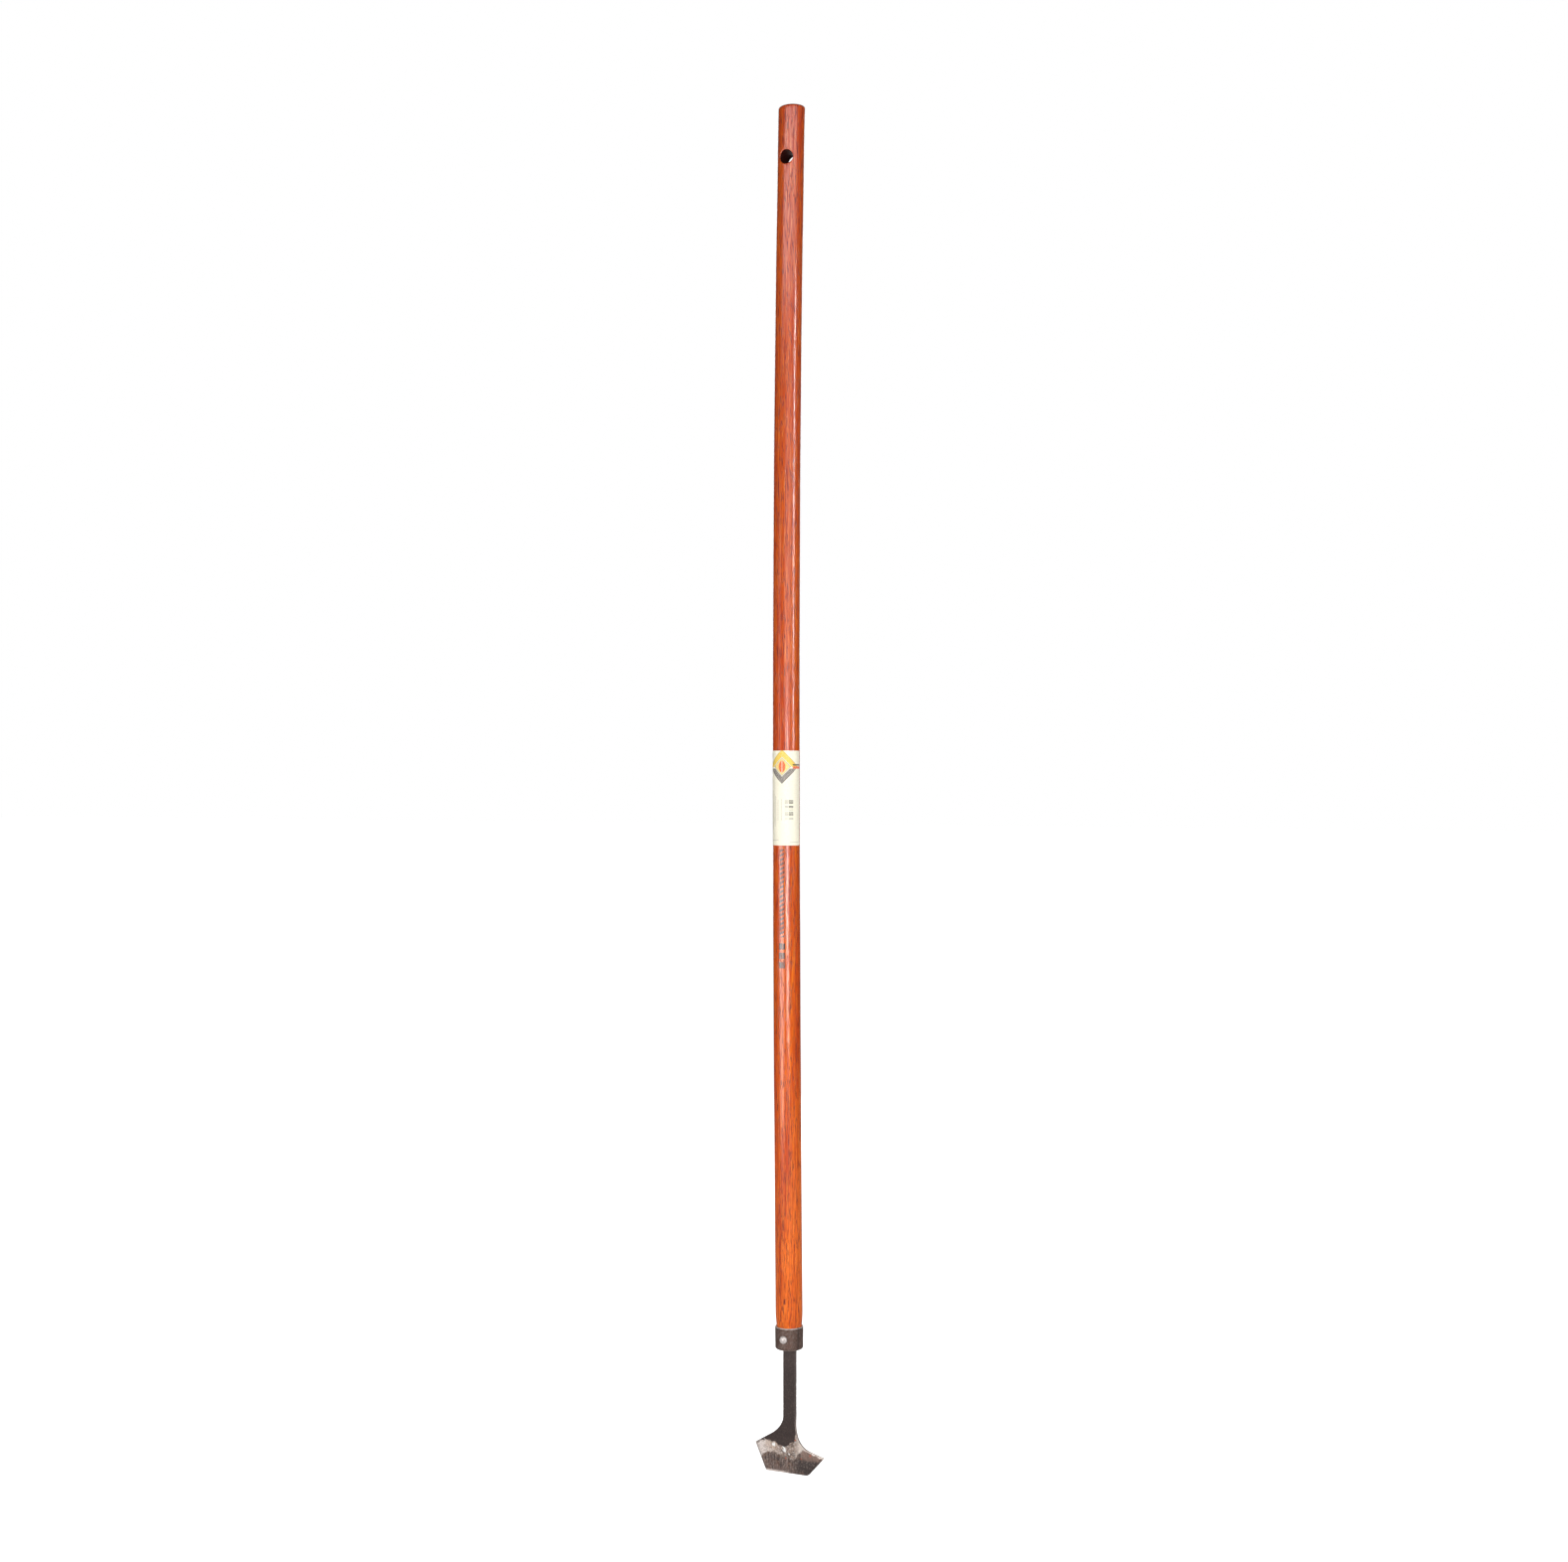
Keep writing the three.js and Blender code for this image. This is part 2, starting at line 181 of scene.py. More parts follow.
class Graph:
    """A material's node tree, built by short calls that each return an output socket."""

    def __init__(self, name):
        self.material = bpy.data.materials.new(name)
        self.material.use_nodes = True
        self.tree = self.material.node_tree
        self.tree.nodes.clear()
        self.output = self.tree.nodes.new("ShaderNodeOutputMaterial")
        self.place = self.tree.nodes.new("ShaderNodeTexCoord").outputs["Object"]

    def feed(self, socket, value):
        if isinstance(value, bpy.types.NodeSocket):
            self.tree.links.new(value, socket)
        else:
            socket.default_value = value

    def principled(self, inputs):
        shader = self.tree.nodes.new("ShaderNodeBsdfPrincipled")
        for name, value in inputs.items():
            self.feed(shader.inputs[name], value)
        self.tree.links.new(shader.outputs[0], self.output.inputs["Surface"])

    def math(self, operation, *values):
        node = self.tree.nodes.new("ShaderNodeMath")
        node.operation = operation
        for socket, value in zip(node.inputs, values):
            self.feed(socket, value)
        return node.outputs[0]

    def add(self, first, second):
        return self.math("ADD", first, second)

    def subtract(self, first, second):
        return self.math("SUBTRACT", first, second)

    def multiply(self, first, second):
        return self.math("MULTIPLY", first, second)

    def divide(self, first, second):
        return self.math("DIVIDE", first, second)

    def length(self, first, second):
        """The length of a vector with these two parts."""
        squares = self.add(self.math("POWER", first, 2), self.math("POWER", second, 2))
        return self.math("SQRT", squares)

    def noise(self, scale, detail=2.0, roughness=0.5, offset=(0, 0, 0)):
        """Noise with so many cells per metre each way. The offset picks another part of it."""
        mapping = self.tree.nodes.new("ShaderNodeMapping")
        mapping.inputs["Location"].default_value = tuple(o * s for o, s in zip(offset, scale))
        mapping.inputs["Scale"].default_value = scale
        self.feed(mapping.inputs["Vector"], self.place)
        node = self.tree.nodes.new("ShaderNodeTexNoise")
        self.feed(node.inputs["Vector"], mapping.outputs[0])
        node.inputs["Scale"].default_value = 1
        node.inputs["Detail"].default_value = detail
        node.inputs["Roughness"].default_value = roughness
        return node.outputs["Fac"]

    def part(self, vector, which):
        node = self.tree.nodes.new("ShaderNodeSeparateXYZ")
        self.feed(node.inputs[0], vector)
        return node.outputs["XYZ".index(which)]

    def axis(self, which):
        return self.part(self.place, which)

    def normal_axis(self, which):
        return self.part(self.tree.nodes.new("ShaderNodeNewGeometry").outputs["Normal"], which)

    def rise(self, foot_z):
        """The height above a foot, in mm."""
        return self.divide(self.subtract(self.axis("Z"), foot_z), MM)

    def round_pole(self, centre_x, turn, radius):
        """How far round the pole a point lies, in mm, from an angle counted from the front towards +X."""
        sideways = self.subtract(self.axis("X"), centre_x)
        angle = self.math("ARCTAN2", sideways, self.multiply(self.axis("Y"), -1))
        return self.multiply(self.subtract(angle, turn), radius / MM)

    def step(self, value, low, high, out_low=0.0, out_high=1.0):
        """Smoothly from out_low where value is low to out_high where it is high."""
        node = self.tree.nodes.new("ShaderNodeMapRange")
        node.interpolation_type = "SMOOTHSTEP"
        for name, number in (("Value", value), ("From Min", low), ("From Max", high),
                             ("To Min", out_low), ("To Max", out_high)):
            self.feed(node.inputs[name], number)
        return node.outputs[0]

    def between(self, value, low, high, soft=0.12):
        """1 where value lies between low and high, falling to 0 over a soft edge."""
        rising = self.step(value, low - soft, low + soft)
        falling = self.step(value, high + soft, high - soft)
        return self.multiply(rising, falling)

    def curve(self, value, points):
        """A smooth line through (value, result) points, level outside them."""
        low, high = points[0][0], points[-1][0]
        results = [point[1] for point in points]
        floor, span = min(results), max(results) - min(results)
        node = self.tree.nodes.new("ShaderNodeFloatCurve")
        line = node.mapping.curves[0]
        for (at, result), spot in zip(points, list(line.points) + [None] * len(points)):
            place = ((at - low) / (high - low), (result - floor) / span)
            if spot is None:
                line.points.new(*place)
            else:
                spot.location = place
        node.mapping.update()
        self.feed(node.inputs["Value"], self.divide(self.subtract(value, low), high - low))
        return self.add(self.multiply(node.outputs[0], span), floor)

    def mix(self, amount, first, second, blend="MIX"):
        node = self.tree.nodes.new("ShaderNodeMix")
        node.data_type = "RGBA"
        node.blend_type = blend
        sockets = {socket.identifier: socket for socket in node.inputs}
        self.feed(sockets["Factor_Float"], amount)
        self.feed(sockets["A_Color"], first)
        self.feed(sockets["B_Color"], second)
        return next(socket for socket in node.outputs if socket.identifier == "Result_Color")

    def tint(self, under, mask, strength, colour):
        """The colour laid over what is under it wherever the mask is 1, at a strength from 0 to 1."""
        return self.mix(self.multiply(mask, strength), under, colour)

    def bump(self, height, distance, strength):
        node = self.tree.nodes.new("ShaderNodeBump")
        node.inputs["Distance"].default_value = distance
        node.inputs["Strength"].default_value = strength
        self.feed(node.inputs["Height"], height)
        return node.outputs[0]


def srgb(red, green, blue):
    """A colour given as 0-255 screen values, as the linear RGBA that a socket takes."""
    def linear(value):
        value /= 255
        return value / 12.92 if value <= 0.04045 else ((value + 0.055) / 1.055) ** 2.4
    return (linear(red), linear(green), linear(blue), 1)


# ---------------------------------------------------------------- wood

# Heights in metres between which the wood's look changes, lower one first
PALE_SPAN = (-1.15, -0.70)
DEEP_SPAN = (-1.0, -0.15)
VARNISH_SPAN = (-1.05, -0.7)
DEEPER_STAIN = (0.86, 0.85, 1.8, 1)

# The pith lies outside the pole and leans to it, so growth rings show as long, drifting lines.
PITH_X, PITH_LEAN_X = 0.031, 0.006
PITH_Y, PITH_LEAN_Y = 0.043, 0.004
RINGS_PER_METRE = 420
RING_WANDER = 5

# The printed mark below the label, in mm: heights above the blade's foot, half widths and half
# pitches, and how far the strokes climb for each mm round the pole
MARK_TURN = math.radians(4)
MARK_MIDDLE = 593
STROKES_FOOT, STROKES_TOP = 564, 656
STROKE_HALF, STROKE_PITCH, STROKE_SLANT = 2.4, 2.4, 0.5
BARS_FOOT, BARS_TOP = 530, 559
BAR_HALF, BAR_PITCH = 3.4, 4.9

# The knot, in mm: its height above the blade's foot, half sizes and ragged outline
KNOT_RISE = 183
KNOT_TALL, KNOT_WIDE, KNOT_RAGGED = 3.4, 1.5, 8

# Where the painted shade on the hang hole's unvarnished wall starts and is full: beyond its edge, and
# under the pole's surface
HOLE_SHADE_EDGE = (1.2 * MM, 0.6 * MM)
HOLE_SHADE_DEPTH = (0.3 * MM, 1.1 * MM)
# Where the butt's painted shade, with its darker end-grain stain, starts and is full, from its end, and
# how ragged that is
BUTT_SHADE = (-1.4 * MM, 0.2 * MM)
BUTT_SHADE_RAGGED = 0.8 * MM


def wood_material():
    """Red-orange stained wood under varnish: growth lines, streaks and short dark open pores."""
    g = Graph("stained_wood")
    z = g.axis("Z")
    streaks = g.noise((640, 640, 11), detail=4, roughness=0.68, offset=(1, 4, 7))
    fibres = g.noise((1300, 1300, 30), detail=3, roughness=0.7, offset=(5, 2, 1))
    pores = g.noise((1000, 1000, 80), detail=3, roughness=0.65, offset=(2, 8, 3))
    broad = g.noise((60, 60, 4), detail=2, offset=(9, 3, 5))
    pore = g.step(pores, 0.55, 0.62)

    paler = g.step(z, PALE_SPAN[1], PALE_SPAN[0])
    tone = g.mix(paler, srgb(222, 100, 20), srgb(244, 118, 28))
    tone = g.mix(g.step(broad, 0.38, 0.66), tone, srgb(208, 80, 18))
    tone = g.tint(tone, g.step(fibres, 0.44, 0.60), 0.62, srgb(180, 56, 18))
    tone = g.tint(tone, late_wood(g), 0.35, srgb(170, 50, 18))
    tone = g.tint(tone, g.step(fibres, 0.44, 0.34), 0.5, srgb(244, 146, 44))
    tone = g.tint(tone, g.step(streaks, 0.52, 0.70), 0.36, srgb(142, 44, 22))
    tone = g.tint(tone, pore, 0.7, srgb(98, 34, 28))
    # The stain is deeper and redder up the pole.
    tone = g.mix(g.step(z, *DEEP_SPAN), tone, g.mix(1, tone, DEEPER_STAIN, "MULTIPLY"))

    tone = g.tint(tone, printed_mark(g), g.step(pores, 0.62, 0.50, 0.4, 0.95), srgb(74, 58, 50))
    tone = g.tint(tone, knot(g, pores), 0.8, srgb(96, 34, 24))
    # The butt's rounded edge and end are darker: painted shade on the rounding, and end grain that takes
    # more stain.
    butt_shade_line = g.add(z, g.multiply(fibres, BUTT_SHADE_RAGGED))
    butt_shade = g.step(butt_shade_line, BUTT_Z + BUTT_SHADE[0], BUTT_Z + BUTT_SHADE[1])
    tone = g.mix(butt_shade, tone, srgb(104, 36, 24))
    shaded_bare_hole = hole_wall_shade(g)
    # Painted shade on the hang hole's wall, a very dark red-brown.
    tone = g.mix(shaded_bare_hole, tone, srgb(62, 24, 21))

    # The varnish is thinner towards the foot and along the dark fibres.
    varnished = g.multiply(g.step(z, *VARNISH_SPAN, 0.5, 1.0), g.step(fibres, 0.42, 0.60, 1.0, 0.5))
    height = g.add(g.multiply(pore, -1.2), g.multiply(fibres, 0.9))
    height = g.add(height, g.multiply(streaks, 0.8))
    g.principled({
        "Base Color": tone, "Roughness": g.step(streaks, 0.3, 0.7, 0.42, 0.56),
        "Specular IOR Level": 0.05, "Normal": g.bump(height, 0.14 * MM, 0.8),
        "Coat Weight": g.multiply(g.subtract(1, shaded_bare_hole), varnished), "Coat Roughness": 0.14,
        "Coat IOR": 1.75, "Coat Normal": g.bump(height, 0.09 * MM, 0.8),
    })
    return g.material


def late_wood(g):
    """The dark half of each growth ring."""
    x, y, z = g.axis("X"), g.axis("Y"), g.axis("Z")
    wander = g.noise((18, 18, 5), detail=3, offset=(3, 1, 2))
    pith_x = g.subtract(g.subtract(x, PITH_X), g.multiply(z, PITH_LEAN_X))
    pith_y = g.subtract(g.add(y, PITH_Y), g.multiply(z, PITH_LEAN_Y))
    across = g.length(pith_x, pith_y)
    rings = g.add(g.multiply(across, RINGS_PER_METRE), g.multiply(wander, RING_WANDER))
    ring = g.math("FRACT", rings)
    return g.multiply(g.step(ring, 0.45, 0.9), g.step(ring, 1.0, 0.93))


def printed_mark(g):
    """A plain printed mark: slanted strokes along the pole over three heavy bars."""
    round_to = g.round_pole(along_pole(1, EDGE_Z + MARK_MIDDLE * MM), MARK_TURN, along_pole(2, 0))
    rise = g.rise(EDGE_Z)
    slant = g.subtract(rise, g.multiply(round_to, STROKE_SLANT))
    strokes = g.step(g.math("PINGPONG", slant, STROKE_PITCH), 0.9, 1.3)
    strokes_here = g.multiply(g.between(round_to, -STROKE_HALF, STROKE_HALF),
                              g.between(rise, STROKES_FOOT, STROKES_TOP))
    bars = g.step(g.math("PINGPONG", g.subtract(rise, BARS_FOOT), BAR_PITCH), 1.4, 1.9)
    bars_here = g.multiply(g.between(round_to, -BAR_HALF, BAR_HALF), g.between(rise, BARS_FOOT, BARS_TOP))
    return g.math("MAXIMUM", g.multiply(strokes, strokes_here), g.multiply(bars, bars_here))


def knot(g, pores):
    """A small ragged knot at the front, near the foot."""
    ragged = g.multiply(g.subtract(pores, 0.5), KNOT_RAGGED * MM)
    up = g.math("POWER", g.divide(g.subtract(g.rise(EDGE_Z), KNOT_RISE), KNOT_TALL), 2)
    side = g.math("POWER", g.divide(g.add(g.axis("X"), ragged), KNOT_WIDE * MM), 2)
    return g.multiply(g.step(g.add(up, side), 1.2, 0.3), g.step(g.axis("Y"), 0.0, -2 * MM))


def hole_wall_shade(g):
    """The hang hole's wall, which is left without varnish and darkened by painted shade."""
    x, y, z = g.axis("X"), g.axis("Y"), g.axis("Z")
    radius = along_pole(2, 0)
    out = g.length(g.subtract(x, along_pole(1, 0)), y)
    in_hole = g.step(g.length(x, z), HOLE_RADIUS + HOLE_SHADE_EDGE[0], HOLE_RADIUS + HOLE_SHADE_EDGE[1])
    return g.multiply(in_hole, g.step(out, radius - HOLE_SHADE_DEPTH[0], radius - HOLE_SHADE_DEPTH[1]))


# ---------------------------------------------------------------- ferrule and rivet metal

# Where the wear starts and is full, in from each rim, and how ragged it is
TOP_WEAR = (1.3 * MM, 0.3 * MM)
FOOT_WEAR = (1.6 * MM, 0.3 * MM)
WEAR_RAGGED = 2.5 * MM
# The painted dark reflection band's two edges, in radians from the front towards +X
DARK_REFLECTION_FROM, DARK_REFLECTION_TO = 1.06, 1.20
# Where the rivet's grime starts and is full, out from the ferrule
GRIME = (1.0 * MM, -0.2 * MM)


def ferrule_material():
    """Dark brown-grey blued steel, mottled, worn bright along its rims, with one painted dark reflection
    band.
    """
    g = Graph("ferrule_steel")
    mottle = g.noise((260, 260, 260), detail=5, roughness=0.7)
    grit = g.noise((760, 760, 760), detail=4, roughness=0.75, offset=(2, 2, 2))
    angle = g.math("ARCTAN2", g.axis("X"), g.multiply(g.axis("Y"), -1))
    place = g.add(g.axis("Z"), g.multiply(g.subtract(mottle, 0.5), WEAR_RAGGED))
    top_wear = g.step(place, FERRULE_TOP.z - TOP_WEAR[0], FERRULE_TOP.z - TOP_WEAR[1])
    foot_wear = g.step(place, FERRULE_FOOT.z + FOOT_WEAR[0], FERRULE_FOOT.z + FOOT_WEAR[1])
    tone = g.mix(g.step(mottle, 0.40, 0.64), srgb(97, 73, 64), srgb(113, 95, 87))
    tone = g.tint(tone, g.step(grit, 0.52, 0.62), 0.7, srgb(62, 47, 41))
    tone = g.tint(tone, g.step(grit, 0.44, 0.35), 0.45, srgb(146, 130, 121))
    tone = g.tint(tone, foot_wear, 0.7, srgb(160, 146, 138))
    tone = g.tint(tone, top_wear, 0.9, srgb(214, 204, 198))
    # Painted dark reflection: an upright darker band round the collar towards +X.
    dark_reflection = g.between(g.add(angle, g.multiply(grit, 0.1)), DARK_REFLECTION_FROM, DARK_REFLECTION_TO, 0.05)
    tone = g.tint(tone, dark_reflection, 0.55, srgb(46, 37, 34))
    height = g.add(mottle, g.multiply(grit, 0.5))
    g.principled({
        "Base Color": tone, "Metallic": 0.55, "Roughness": g.step(grit, 0.3, 0.7, 0.45, 0.62),
        "Normal": g.bump(height, 0.10 * MM, 0.8),
    })
    return g.material


def rivet_material():
    """Plain bright steel, dulled, with brown grime in toward the ferrule."""
    g = Graph("rivet_steel")
    specks = g.noise((700, 700, 700), detail=4, roughness=0.7)
    seat = g.step(g.math("ABSOLUTE", g.axis("Y")), FERRULE_RADIUS + GRIME[0], FERRULE_RADIUS + GRIME[1])
    tone = g.mix(g.step(specks, 0.45, 0.7), srgb(214, 205, 201), srgb(168, 158, 152))
    tone = g.tint(tone, seat, 0.8, srgb(96, 80, 72))
    g.principled({
        "Base Color": tone, "Metallic": 0.55, "Roughness": g.step(specks, 0.3, 0.7, 0.46, 0.6),
        "Normal": g.bump(specks, 0.08 * MM, 0.6),
    })
    return g.material


# ---------------------------------------------------------------- blade metal

# The foot of the forge scale and the top of the patina as (side, rise), and how ragged each is, in mm
SCALE_FOOT = ((-39, 33), (-26, 31.6), (-16.5, 31.4), (-11.5, 28.8), (-6, 27), (-1.5, 29), (1.6, 32),
              (5, 34.5), (7, 40), (8.5, 52))
PATINA_TOP = ((-39, 4), (-33, 11), (-30, 17), (-26, 19.6), (-20.5, 20.8), (-15.5, 20.2), (-7.5, 16.6),
              (-1.6, 17), (3, 14), (7, 15.8), (9, 20), (13, 24.2), (16.5, 26), (21, 25.2),
              (29, 22.2), (35, 19.8), (40, 16))
SCALE_RAGGED = 9
PATINA_RAGGED = 10

# Round spots as (side, rise, radius), and how ragged they are, in mm
# Painted glints: near-white spots on the ground band by the foot of the scale.
GLINT_SPOTS = ((-18, 28.5, 2.4), (-5.5, 23.5, 2.6), (-0.2, 20, 1.4), (-6.5, 26.5, 1.2))
GLINT_RAGGED = 5
RUST_SPOTS = ((7, 35.5, 1.5), (-4, 15.6, 1.3), (24, 21.5, 1.2), (13.5, 17, 0.9), (-19, 12, 0.9))
RUST_RAGGED = 4


def blade_fields(g):
    """Places on the blade in mm, and the noises that its tones share."""
    tatter = g.noise((260, 260, 260), detail=4, roughness=0.7, offset=(4, 1, 3))
    return SimpleNamespace(
        rise=g.rise(EDGE_Z),
        side=g.divide(g.axis("X"), MM),
        tatter=tatter,
        wobble=g.subtract(tatter, 0.5),
        grain=g.noise((900, 900, 900), detail=4, roughness=0.65),
        scratch=g.noise((1100, 1100, 70), detail=3, roughness=0.6, offset=(6, 2, 2)),
        streak=g.noise((330, 330, 120), detail=4, roughness=0.65, offset=(2, 7, 4)),
        cloud=g.noise((120, 120, 120), detail=3, roughness=0.6, offset=(8, 1, 5)),
        fleck=g.noise((620, 620, 560), detail=3, roughness=0.8, offset=(1, 9, 2)),
    )


def ragged_spot(g, at, spot, ragged):
    """1 inside a ragged round spot, 0 beyond its edge."""
    side, rise, radius = spot
    away = g.length(g.subtract(at.side, side), g.subtract(at.rise, rise))
    return g.step(g.add(away, g.multiply(at.wobble, ragged)), radius, radius / 2)


def ground_tone(g, at):
    """Ground steel: beige towards the middle, brighter at both tips, with a few painted glints."""
    at_tip = g.math("MAXIMUM", g.step(at.side, -20, -33), g.step(at.side, 14, 36, 0, 0.5))
    middle = g.multiply(g.step(at.side, -18, -8), g.step(at.side, 14, 4))
    tone = g.mix(g.step(at.scratch, 0.36, 0.66), srgb(214, 192, 176), srgb(164, 140, 124))
    tone = g.tint(tone, g.step(at.cloud, 0.44, 0.60), 0.4, srgb(232, 222, 216))
    tone = g.tint(tone, g.step(at.streak, 0.55, 0.63), 0.55, srgb(142, 121, 108))
    tone = g.tint(tone, at_tip, 0.7, srgb(234, 224, 219))
    tone = g.tint(tone, middle, 0.6, srgb(138, 118, 107))
    tone = g.tint(tone, g.multiply(g.step(at.tatter, 0.47, 0.56), middle), 0.8, srgb(90, 76, 70))
    # Painted glints, near white.
    for spot in GLINT_SPOTS:
        tone = g.tint(tone, ragged_spot(g, at, spot, GLINT_RAGGED), 0.95, srgb(255, 254, 253))
    tone = g.tint(tone, g.step(at.fleck, 0.52, 0.62), 0.65, srgb(132, 111, 99))
    tone = g.tint(tone, g.step(at.fleck, 0.46, 0.36), 0.5, srgb(246, 240, 236))
    return g.mix(g.step(at.side, 5, 13, 0, 0.55), tone, srgb(240, 230, 222))


def patina_tone(g, at):
    """Brown-grey patina, darkest low down towards +X and browner above that."""
    low_right = g.multiply(g.step(at.side, 2, 12), g.step(at.rise, 20, 14))
    upper_right = g.multiply(g.step(at.side, 11, 18), g.step(at.rise, 14, 18))
    tone = g.mix(g.step(at.streak, 0.42, 0.58), srgb(66, 54, 50), srgb(110, 91, 84))
    tone = g.tint(tone, g.step(at.cloud, 0.50, 0.62), 0.6, srgb(112, 82, 66))
    tone = g.tint(tone, g.step(at.scratch, 0.52, 0.64), 0.6, srgb(174, 154, 143))
    tone = g.tint(tone, g.step(at.tatter, 0.54, 0.60), 0.5, srgb(84, 72, 69))
    tone = g.tint(tone, low_right, g.step(at.cloud, 0.66, 0.56, 0.4, 0.95), srgb(58, 48, 46))
    tone = g.tint(tone, g.step(at.fleck, 0.50, 0.60), 0.65, srgb(66, 55, 52))
    tone = g.tint(tone, g.step(at.fleck, 0.46, 0.36), 0.55, srgb(158, 142, 132))
    return g.tint(tone, upper_right, 0.45, srgb(158, 128, 114))


def forge_tone(g, at):
    """Dark forge scale, a little lighter at the shank's top."""
    tone = g.mix(g.step(at.grain, 0.4, 0.7), srgb(47, 36, 34), srgb(69, 53, 49))
    tone = g.tint(tone, g.step(at.fleck, 0.46, 0.34), 0.4, srgb(98, 84, 78))
    return g.mix(g.step(at.rise, 105, 132, 0, 0.2), tone, srgb(84, 70, 65))


def blade_material():
    """One forging: dark scale above a ragged edge, a bright ground band, then brown-grey patina."""
    g = Graph("forged_steel")
    at = blade_fields(g)
    scale_edge = g.add(at.rise, g.multiply(at.wobble, SCALE_RAGGED))
    scale = g.step(g.subtract(scale_edge, g.curve(at.side, SCALE_FOOT)), -0.5, 0.7)
    patina_edge = g.add(at.rise, g.multiply(at.wobble, PATINA_RAGGED))
    patina = g.step(g.subtract(g.curve(at.side, PATINA_TOP), patina_edge), -0.9, 1.1)

    tone = g.mix(patina, ground_tone(g, at), patina_tone(g, at))
    for spot in RUST_SPOTS:
        tone = g.tint(tone, ragged_spot(g, at, spot, RUST_RAGGED), 0.8, srgb(176, 84, 62))
    tone = g.mix(scale, tone, forge_tone(g, at))
    # The faces and edges turned towards +X get a painted highlight, stronger low down, and the sharpened
    # foot towards -X is rubbed brighter than the face.
    lit_edge_highlight = g.step(g.normal_axis("X"), 0.55, 0.85)
    tone = g.tint(tone, lit_edge_highlight, g.step(at.rise, 66, 40, 0.18, 0.8), srgb(196, 180, 172))
    sharpened = g.multiply(g.step(at.rise, 2.6, 1.0), g.step(at.side, 2, -8))
    tone = g.tint(tone, sharpened, 0.65, srgb(222, 206, 198))

    coated = g.multiply(g.math("MAXIMUM", scale, patina), 0.4)
    roughness = g.add(g.step(at.grain, 0.3, 0.7, 0.40, 0.54), g.multiply(scale, 0.10))
    height = g.add(g.multiply(scale, 2.0), g.multiply(at.grain, 0.8))
    height = g.add(height, g.multiply(at.scratch, 0.5))
    g.principled({
        "Base Color": tone, "Metallic": g.subtract(0.7, coated), "Roughness": roughness,
        "Normal": g.bump(height, 0.10 * MM, 0.8),
    })
    return g.material


# ---------------------------------------------------------------- label paper

# The printed design, in mm round the pole from the label's middle and up from its foot
BADGE_RISE = 82.5
BADGE_INSIDE, BADGE_OUTSIDE, BADGE_LINE = 10.4, 18, 0.6
FIELD, FIELD_LINE, FIELD_SOFT = 8.9, 0.8, 0.4
LEAF_SHIFT, LEAF_BEND, LEAF_SOFT = 4.2, 7.9, 0.12
LEAF_VEIN = 0.3
# Sides of the rules beside the badge and of the two columns of fine bars
RULE_SIDES = (11.5, 22.5)
DARK_BAR_SIDES, GREY_BAR_SIDES = (7.2, 12.2), (3, 6.6)
FINE_PITCH = 0.8
# Groups of fine bars as (foot, top, strength)
BAR_GROUPS = ((43.4, 47.6, 0.85), (39.2, 41.8, 1.0), (36.4, 37.8, 0.5), (31.0, 35.2, 0.85),
              (27.0, 29.4, 0.55))
# Faint upright rules as (middle, foot, top, strength)
UPRIGHTS = ((-13.5, 16, 58, 0.6), (-11, 20, 54, 0.5), (-8, 20, 52, 0.4), (-4.5, 26, 48, 0.3),
            (-0.3, 26, 49, 0.35))
UPRIGHT_HALF = 0.4
# Faint level rules as (left, right, foot, top)
LEVELS = ((-16, -4, 5.2, 6.0), (8, 20, 3.2, 4.0))

PAPER, PAPER_SHADE = srgb(247, 242, 222), srgb(242, 236, 214)
PAPER_BARE = srgb(253, 249, 233)
YELLOW, ORANGE = srgb(238, 198, 44), srgb(232, 92, 50)
GREY, DARK = srgb(118, 110, 108), srgb(48, 38, 35)


def label_material():
    """Cream coated paper with a plain printed design: a badge, rules and a block of bars."""
    g = Graph("label_paper")
    foot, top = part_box("label")
    middle_z = (foot.z + top.z) / 2
    along = g.round_pole(along_pole(1, middle_z), LABEL_TURN, along_pole(2, middle_z))
    rise = g.rise(foot.z)
    fibre = g.noise((700, 700, 700), detail=3)
    wear = g.step(g.noise((1500, 1500, 1500), detail=2, offset=(3, 3, 3)), 0.35, 0.62, 0.65, 1.0)
    tone = g.mix(g.step(fibre, 0.35, 0.65), PAPER, PAPER_SHADE)
    for mask, strength, ink in badge(g, along, rise) + rules_and_bars(g, along, rise):
        tone = g.tint(tone, g.multiply(mask, wear), strength, ink)
    g.principled({
        "Base Color": tone, "Roughness": 0.5, "Specular IOR Level": 0.4,
        "Normal": g.bump(fibre, 0.03 * MM, 0.5),
    })
    return g.material


def badge(g, along, rise):
    """A lozenge, yellow above and grey below, round a plain leaf. A list of (mask, strength, ink)."""
    up = g.subtract(rise, BADGE_RISE)
    out = g.add(g.math("ABSOLUTE", along), g.math("ABSOLUTE", up))
    band = g.between(out, BADGE_INSIDE, BADGE_OUTSIDE)
    lobes = [g.length(g.add(along, shift), up) for shift in (-LEAF_SHIFT, LEAF_SHIFT)]
    leaf = g.step(g.math("MAXIMUM", *lobes), LEAF_BEND + LEAF_SOFT, LEAF_BEND - LEAF_SOFT)
    return [
        (g.multiply(band, g.step(up, -0.6, -0.2)), 1.0, YELLOW),
        (g.multiply(band, g.step(up, -1.8, -2.2)), 1.0, GREY),
        (g.between(out, BADGE_OUTSIDE - BADGE_LINE, BADGE_OUTSIDE), 0.5, DARK),
        (g.between(out, FIELD, FIELD + FIELD_LINE), 0.7, DARK),
        (g.step(out, FIELD, FIELD - FIELD_SOFT), 0.8, YELLOW),
        (leaf, 1.0, ORANGE),
        (g.multiply(leaf, g.between(along, -LEAF_VEIN, LEAF_VEIN)), 1.0, PAPER_BARE),
    ]


